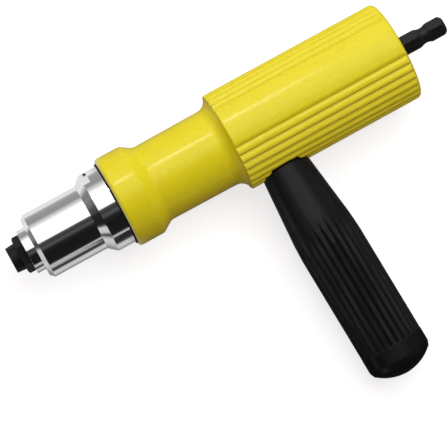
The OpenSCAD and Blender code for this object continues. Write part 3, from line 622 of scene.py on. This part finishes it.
def turned_steel(settings):
    """Turned steel under a film of oil, polished on its edges."""
    finish = Finish("turned_steel", settings.machined, metallic=1.0, bevel=0.12 * MM)
    lathe = finish.rings(settings.turning_pitch * COARSE_TURNING)
    oil = finish.noise(6 * MM, detail=5, roughness=0.6)
    fine = finish.noise(0.5 * MM, detail=3, stretch=(5, 0.6, 0.6))
    colour = finish.cover(settings.machined, OIL_FILM, oil, 0.4, 0.72, share=0.5)
    colour = finish.rub(colour, STEEL_WORN, finish.edges(0.25 * MM), share=0.5)
    finish.bump(finish.times(lathe, fine), depth=0.012 * MM, strength=0.6)
    return finish.done(colour, finish.ramp(oil, 0.3, 0.75, 0.22, 0.4))


def ground_steel():
    """Ground steel of the bearing's races and balls."""
    finish = Finish("ground_steel", GROUND_STEEL, metallic=1.0, bevel=0.1 * MM)
    haze = finish.noise(3 * MM, detail=5)
    arcs = finish.noise(0.2 * MM, detail=2, stretch=(0.3, 1, 1))
    colour = finish.cover(GROUND_STEEL, GROUND_HAZE, haze, 0.4, 0.7, share=0.4)
    finish.bump(arcs, depth=0.002 * MM, strength=0.5)
    return finish.done(colour, finish.ramp(haze, 0.3, 0.7, 0.08, 0.2))


def zinc_plate():
    """Zinc with a bluish bloom, rubbed bright on its edges."""
    finish = Finish("zinc_plate", ZINC, metallic=1.0, bevel=0.18 * MM)
    bloom = finish.noise(4 * MM, detail=6, roughness=0.65)
    lathe = finish.noise(0.3 * MM, detail=2, stretch=(3, 1, 1))
    colour = finish.cover(ZINC, ZINC_BLOOM, bloom, 0.38, 0.68)
    colour = finish.rub(colour, ZINC_WORN, finish.edges(0.35 * MM), share=0.5)
    finish.bump(lathe, depth=0.01 * MM, strength=0.5)
    return finish.done(colour, finish.ramp(bloom, 0.3, 0.7, 0.24, 0.42))


def bearing_bronze():
    """Sintered bronze, darkened in patches, with fine pores."""
    finish = Finish("bearing_bronze", BRONZE, metallic=1.0, bevel=0.12 * MM)
    patina = finish.noise(3 * MM, detail=5, roughness=0.6)
    pores = finish.noise(0.22 * MM, detail=2)
    colour = finish.cover(BRONZE, BRONZE_PATINA, patina, 0.4, 0.7, share=0.7)
    finish.bump(pores, depth=0.012 * MM, strength=0.6)
    return finish.done(colour, finish.ramp(patina, 0.3, 0.7, 0.28, 0.46))


def gasket_rubber(settings):
    """Dull black rubber with a fine grain."""
    finish = Finish("gasket_rubber", settings.rubber, specular=0.25)
    bloom = finish.noise(2 * MM, detail=5)
    grain = finish.noise(0.15 * MM, detail=3)
    colour = finish.cover(settings.rubber, RUBBER_BLOOM, bloom, 0.45, 0.75)
    finish.bump(grain, depth=0.02 * MM, strength=0.7)
    return finish.done(colour, finish.ramp(bloom, 0.3, 0.7, 0.6, 0.8))


def moulded_plastic(settings, foot, axis, top):
    """Grained plastic, smoother on the ribs' crests with a painted highlight along them, and rougher
    between the ribs with painted shade there. The handle's ribs end at top.
    """
    finish = Finish("moulded_plastic", settings.plastic, specular=0.24, bevel=0.2 * MM)
    arm = finish.vector("SUBTRACT", finish.place, foot)
    reach = finish.vector("DOT_PRODUCT", arm, axis, "Value")
    girth = finish.vector("LENGTH", finish.vector("CROSS_PRODUCT", arm, axis), out="Value")
    start = top - settings.ribbed
    ribbed = finish.times(finish.ramp(reach, top - RIBS_FADE_TOP, top, 1, 0),
                          finish.ramp(reach, start, start + RIBS_FADE_FOOT))
    crest = finish.times(finish.ramp(girth, *HANDLE_CRESTS), ribbed)
    valley = finish.times(finish.ramp(girth, *HANDLE_FLANKS, 1, 0), ribbed)
    streak = finish.noise(2.2 * MM, detail=3, stretch=(1, 0.04, 1))
    grain = finish.noise(settings.grain, detail=4, roughness=0.6)
    flow = finish.noise(11 * MM, detail=4, stretch=(1, 0.35, 1))
    scuff = finish.noise(2.4 * MM, detail=6, roughness=0.7)
    crest_sheen = finish.times(crest, finish.ramp(streak, 0.42, 0.62, 0.2, 1.0))
    worn = finish.times(finish.edges(0.35 * MM), finish.ramp(scuff, 0.45, 0.65))
    colour = finish.cover(settings.plastic, shade(settings.plastic, 1.3), flow, 0.35, 0.7)
    # Painted highlight: streaks along the ribs' crests are coloured lighter
    colour = finish.mix(crest_sheen, colour, shade(settings.plastic, 3.6))
    # Painted shade: the valleys between the ribs are coloured darker
    colour = finish.mix(valley, colour, shade(settings.plastic, 0.35))
    colour = finish.rub(colour, PLASTIC_WORN, worn, share=0.4)
    rough = finish.plus(finish.ramp(flow, 0.3, 0.7, 0.24, 0.31), finish.ramp(scuff, 0.55, 0.8, 0, 0.12))
    rough = finish.plus(rough, finish.times(valley, 0.25))
    rough = finish.math("SUBTRACT", rough, finish.times(crest, 0.13))
    finish.bump(grain, depth=0.016 * MM, strength=0.6)
    return finish.done(colour, rough)


# Meshes

def circle(sides):
    """Cosine and sine of each corner of a regular outline."""
    turns = (2 * math.pi * k / sides for k in range(sides))
    return [(math.cos(turn), math.sin(turn)) for turn in turns]


def outline(mesh, points):
    """Adds a closed outline to a bmesh, and returns its corners and edges."""
    verts = [mesh.verts.new(point) for point in points]
    edges = [mesh.edges.new(pair) for pair in zip(verts, verts[1:] + verts[:1])]
    return verts, edges


def spun(points, steps, axis):
    """Surface of revolution of a closed outline."""
    mesh = bmesh.new()
    verts, edges = outline(mesh, points)
    bmesh.ops.spin(mesh, geom=verts + edges, cent=(0, 0, 0), axis=axis, angle=2 * math.pi,
                   steps=steps, use_merge=True, use_duplicate=False)
    return mesh


def keep_piece(name, mesh, body, material):
    """Turns a finished bmesh into a smooth object at the origin that rides on a body."""
    bmesh.ops.remove_doubles(mesh, verts=mesh.verts, dist=1e-7)
    bmesh.ops.recalc_face_normals(mesh, faces=mesh.faces)
    data = bpy.data.meshes.new(name)
    mesh.to_mesh(data)
    mesh.free()
    for face in data.polygons:
        face.use_smooth = True
    thing = bpy.data.objects.new(name, data)
    bpy.context.scene.collection.objects.link(thing)
    data.materials.append(material)
    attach(thing, body)
    return thing


def middle(name):
    """Middle of a CAD node's surface, which lies on the axis of a turned part."""
    faces = NODES[name].data.polygons
    return sum((face.center * face.area for face in faces), Vector()) / sum(face.area for face in faces)


def tip(name, foot, axis):
    """How far a CAD node reaches from foot along an axis."""
    return max((vert.co - foot).dot(axis) for vert in NODES[name].data.vertices)


# Operators

class ADAPTER_OT_paint_body(bpy.types.Operator):
    """Sprays the barrel casting with gloss paint"""
    bl_idname = "adapter.paint_body"
    bl_label = "Paint the Barrel"

    def execute(self, context):
        dress(gloss_paint(context.scene.adapter.paint), "body_shell")
        return {"FINISHED"}


class ADAPTER_OT_plate_sleeve(bpy.types.Operator):
    """Plates the front sleeve with chrome"""
    bl_idname = "adapter.plate_sleeve"
    bl_label = "Plate the Sleeve"

    def execute(self, context):
        dress(plated_chrome(context.scene.adapter.steel), "front_sleeve")
        return {"FINISHED"}


class ADAPTER_OT_blacken_steel(bpy.types.Operator):
    """Blackens the nosepiece and the hex shank, and threads the lead screw"""
    bl_idname = "adapter.blacken_steel"
    bl_label = "Blacken the Steel"

    def execute(self, context):
        steel = context.scene.adapter.steel
        dress(black_oxide(steel), "nosepiece")
        dress(driven_steel(steel), "drive_spindle")
        return {"FINISHED"}


class ADAPTER_OT_finish_inside(bpy.types.Operator):
    """Finishes the jaws, the pull tube, the bearing and the hardware"""
    bl_idname = "adapter.finish_inside"
    bl_label = "Finish the Inside"

    def execute(self, context):
        dress(turned_steel(context.scene.adapter.steel), "pull_tube", "guide_key", "jaw_case",
              "jaw_1", "jaw_2", "jaw_3", "jaw_pusher")
        dress(ground_steel(), "fixed_race", "turning_race", "bearing_balls")
        dress(zinc_plate(), "rear_plug", "handle_stud", "handle_washer", "jaw_spring")
        dress(bearing_bronze(), "rear_bush", "play_washer", "ball_cage", "drive_nut")
        return {"FINISHED"}


class ADAPTER_OT_wind_spring(bpy.types.Operator):
    """Winds the jaw spring at the length of its CAD node, in that node's finish. The real spring gets
    shorter as the jaws open.
    """
    bl_idname = "adapter.wind_spring"
    bl_label = "Wind the Jaw Spring"

    def execute(self, context):
        steel = context.scene.adapter.steel
        low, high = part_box("jaw_spring")
        length = high.x - low.x
        wire = steel.spring_wire / 2
        coil = (high.y - low.y) / 2 - wire
        steps = steel.spring_turns * STEPS_A_TURN
        mesh = bmesh.new()
        verts, start = outline(mesh, [(low.x + wire + wire * sine, coil + wire * cosine, 0)
                                      for cosine, sine in circle(WIRE_SIDES)])
        wound = bmesh.ops.spin(mesh, geom=verts + start, cent=(0, 0, 0), axis=X_AXIS,
                               angle=2 * math.pi * steel.spring_turns, steps=steps,
                               dvec=((length - 2 * wire) / steps, 0, 0), use_merge=False,
                               use_duplicate=False)
        end = [item for item in wound["geom_last"] if isinstance(item, bmesh.types.BMEdge)]
        bmesh.ops.edgeloop_fill(mesh, edges=start)
        bmesh.ops.edgeloop_fill(mesh, edges=end)
        zinc = NODES["jaw_spring"].data.materials[0]
        coils = keep_piece("jaw_spring_coils", mesh, "puller", zinc)
        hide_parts("jaw_spring")
        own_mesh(coils)
        return {"FINISHED"}


class ADAPTER_OT_fit_gasket(bpy.types.Operator):
    """Gives the gasket its rubber and a rounded bead on its rim"""
    bl_idname = "adapter.fit_gasket"
    bl_label = "Fit the Gasket"

    def execute(self, context):
        gasket = context.scene.adapter.gasket
        rubber = gasket_rubber(gasket)
        dress(rubber, "sleeve_gasket")
        low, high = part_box("sleeve_gasket")
        centre = (low.x + high.x) / 2
        rim = (high.y - low.y) / 2 - gasket.bead * BEAD_SUNK
        bead = [(centre + gasket.bead * cosine, 0, rim + gasket.bead * sine)
                for cosine, sine in circle(BEAD_SIDES)]
        keep_piece("gasket_bead", spun(bead, gasket.steps, X_AXIS), "housing", rubber)
        return {"FINISHED"}


class ADAPTER_OT_mould_handle(bpy.types.Operator):
    """Moulds the side handle, with the mark in its cap where the plastic went in"""
    bl_idname = "adapter.mould_handle"
    bl_label = "Mould the Handle"

    def execute(self, context):
        handle = context.scene.adapter.handle
        foot = middle("handle_stud")
        axis = (middle("handle_cap") - foot).normalized()
        plastic = moulded_plastic(handle, foot, axis, tip("handle_grip", foot, axis) - handle.rim)
        dress(plastic, "handle_grip", "handle_cap")
        mark = spun([(share * handle.gate_radius, 0, height) for share, height in GATE_PROFILE],
                    GATE_STEPS, Z_AXIS)
        place = foot + axis * (tip("handle_cap", foot, axis) - GATE_SUNK)
        turn = Z_AXIS.rotation_difference(axis).to_matrix().to_4x4()
        mark.transform(Matrix.Translation(place) @ turn)
        keep_piece("cap_gate_mark", mark, "housing", plastic)
        return {"FINISHED"}


class ADAPTER_OT_set_stage(bpy.types.Operator):
    """Lays the floor, hangs the lamps and sets up the room that the metal mirrors"""
    bl_idname = "adapter.set_stage"
    bl_label = "Set the Stage"

    def execute(self, context):
        studio = context.scene.adapter.studio
        self.room(context.scene, studio)
        self.floor(context.scene)
        self.lamp("overhead_lamp", studio.overhead, place=(0.50, 0.18, 1.0), size=(1.1, 0.9), tint=COOL)
        self.lamp("side_lamp", studio.side, place=(0.25, 0.94, 0.34), size=(1.1, 0.7))
        self.lamp("nose_lamp", studio.nose, place=(-0.75, 0.35, 0.5), size=(0.5, 0.5))
        self.lamp("strip_lamp", studio.strip, place=(0.134, 0.372, 0.488), size=(0.132, 0.042),
                  mirrored=True)
        return {"FINISHED"}

    def lamp(self, name, power, place, size, tint=WHITE[:3], mirrored=False):
        """A rectangular lamp whose long side lies along the barrel. No lamp shows to the camera."""
        data = bpy.data.lights.new(name, "AREA")
        data.shape = "RECTANGLE"
        data.size, data.size_y = size
        data.energy = power
        data.color = tint
        thing = bpy.data.objects.new(name, data)
        thing.location = place
        back = (Vector(place) - LAMP_AIM).normalized()
        side = (X_AXIS - back * back.x).normalized()
        thing.rotation_euler = Matrix((side, back.cross(side), back)).transposed().to_euler()
        thing.visible_camera = False
        thing.visible_glossy = mirrored
        bpy.context.scene.collection.objects.link(thing)

    def room(self, scene, studio):
        """White to the camera, even light to matt surfaces, a softbox and dark cards to glossy ones."""
        world = bpy.data.worlds.new("studio_room")
        scene.world = world
        world.use_nodes = True
        world.node_tree.nodes.clear()
        wires = Wiring(world.node_tree)
        direction = wires.add("TexCoord").outputs["Generated"]
        x, y, z = (wires.part(direction, axis) for axis in range(3))
        slope = wires.times(wires.math("ARCTAN2", y, z), 180 / math.pi)
        walls = wires.bands(slope, WALLS)
        box = wires.times(wires.bands(slope, SOFTBOX), wires.bands(x, SOFTBOX_ENDS))
        slanted = wires.plus(x, wires.ramp(y, *NOSE_END_SLANT))
        nose_end = wires.times(wires.ramp(x, *NOSE_END_SHADE), wires.bands(slanted, NOSE_END))
        greys = wires.times(wires.plus(walls, box), nose_end)
        greys = wires.plus(greys, wires.ramp(x, *NOSE_END_GLIMMER))
        mirrored = wires.glow("Background", greys, ROOM_MIRRORED)
        white = wires.glow("Background", WHITE, 1.0)
        even = wires.glow("Background", WARM, studio.fill)
        wires.links.new(wires.by_ray(white, mirrored, even), wires.add("OutputWorld").inputs[0])

    def floor(self, scene):
        """Pale floor under the grip and the handle's rim, with greys that only gloss mirrors, darkened by a
        painted shadow of the part beside the body and around the handle.
        """
        mesh = bmesh.new()
        bmesh.ops.create_grid(mesh, x_segments=2, y_segments=2, size=FLOOR_HALF)
        data = bpy.data.meshes.new("floor")
        mesh.to_mesh(data)
        mesh.free()
        thing = bpy.data.objects.new("floor", data)
        thing.location = (0, 0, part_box("body_shell")[0].z - FLOOR_GAP)
        scene.collection.objects.link(thing)
        data.materials.append(self.sheet())

    def sheet(self):
        """The floor's material: white to the camera, greys with a painted shadow to gloss, and a warm grey
        to the rest.
        """
        material = bpy.data.materials.new("floor_sheet")
        material.use_nodes = True
        material.node_tree.nodes.clear()
        wires = Wiring(material.node_tree)
        place = wires.add("TexCoord").outputs["Object"]
        x, y = (wires.math("DIVIDE", wires.part(place, axis), MM) for axis in range(2))
        # Painted shadow of the part: beside the body and around the handle the mirrored floor is darker
        handle_shadow = wires.times(wires.ramp(y, *HANDLE_SHADOW_Y), wires.ramp(x, *HANDLE_SHADOW_X))
        shadowed = wires.math("MAXIMUM", handle_shadow, wires.ramp(x, *PAINT_SHADOW_X))
        greys = wires.mix(shadowed, wires.bands(y, FLOOR_BY_CHROME), wires.bands(y, SHADOWED_FLOOR_BY_PAINT))
        greys = wires.mix(wires.ramp(x, *NOSE_CARD_X), greys, wires.bands(y, FLOOR_BEFORE_NOSE))
        mirrored = wires.glow("Emission", greys, FLOOR_MIRRORED)
        away = wires.vector("DISTANCE", place, FLOOR_MIDDLE, "Value")
        white = wires.glow("Emission", WHITE, wires.ramp(away, *FLOOR_GLOW_REACH, *FLOOR_GLOW))
        seen = wires.add("AddShader")
        wires.links.new(wires.matt(FLOOR_SEEN), seen.inputs[0])
        wires.links.new(white, seen.inputs[1])
        surface = wires.by_ray(seen.outputs[0], mirrored, wires.matt(FLOOR_LIT, WARM))
        wires.links.new(surface, wires.add("OutputMaterial").inputs[0])
        return material


class ADAPTER_OT_place_camera(bpy.types.Operator):
    """Puts the camera where the photograph was taken"""
    bl_idname = "adapter.place_camera"
    bl_label = "Place the Camera"

    def execute(self, context):
        data = bpy.data.cameras.new("camera")
        data.sensor_width = SENSOR_WIDTH
        data.lens = context.scene.adapter.studio.focal * SENSOR_WIDTH / IMAGE_WIDTH
        data.clip_start, data.clip_end = 0.05, 20
        thing = bpy.data.objects.new("camera", data)
        back = (CAMERA_SPOT - CAMERA_AIM).normalized()
        right = Vector((math.sin(CAMERA_ROLL), math.cos(CAMERA_ROLL), 0)).cross(back).normalized()
        turn = Matrix((right, back.cross(right), back)).transposed().to_4x4()
        thing.matrix_world = Matrix.Translation(CAMERA_SPOT) @ turn
        context.scene.collection.objects.link(thing)
        context.scene.camera = thing
        return {"FINISHED"}


class ADAPTER_PT_looks(bpy.types.Panel):
    """Lists the steps that dress the adapter"""
    bl_idname = "ADAPTER_PT_looks"
    bl_label = "Rivet Adapter"
    bl_space_type = "VIEW_3D"
    bl_region_type = "UI"
    bl_category = "Adapter"

    def draw(self, context):
        settings = context.scene.adapter
        for group, steps in PANEL:
            box = self.layout.box()
            data = getattr(settings, group)
            for key in data.bl_rna.properties.keys():
                if key not in {"rna_type", "name"}:
                    box.prop(data, key)
            for step in steps:
                box.operator(step.bl_idname)


PANEL = [
    ("paint", [ADAPTER_OT_paint_body]),
    ("steel", [ADAPTER_OT_plate_sleeve, ADAPTER_OT_blacken_steel, ADAPTER_OT_finish_inside,
               ADAPTER_OT_wind_spring]),
    ("gasket", [ADAPTER_OT_fit_gasket]),
    ("handle", [ADAPTER_OT_mould_handle]),
    ("studio", [ADAPTER_OT_set_stage, ADAPTER_OT_place_camera]),
]
GROUPS = [PaintSettings, SteelSettings, HandleSettings, GasketSettings, StudioSettings, AdapterSettings]
CLASSES = GROUPS + [step for _, steps in PANEL for step in steps] + [ADAPTER_PT_looks]


def register():
    for item in CLASSES:
        bpy.utils.register_class(item)
    bpy.types.Scene.adapter = PointerProperty(type=AdapterSettings)


def unregister():
    del bpy.types.Scene.adapter
    for item in reversed(CLASSES):
        bpy.utils.unregister_class(item)


def main():
    register()
    bpy.context.scene.view_settings.view_transform = "Standard"
    bpy.ops.adapter.place_camera()
    bpy.ops.adapter.set_stage()
    bpy.ops.adapter.paint_body()
    bpy.ops.adapter.plate_sleeve()
    bpy.ops.adapter.blacken_steel()
    bpy.ops.adapter.finish_inside()
    bpy.ops.adapter.wind_spring()
    bpy.ops.adapter.fit_gasket()
    bpy.ops.adapter.mould_handle()
    bpy.context.view_layer.update()


if __name__ == "__main__":
    main()
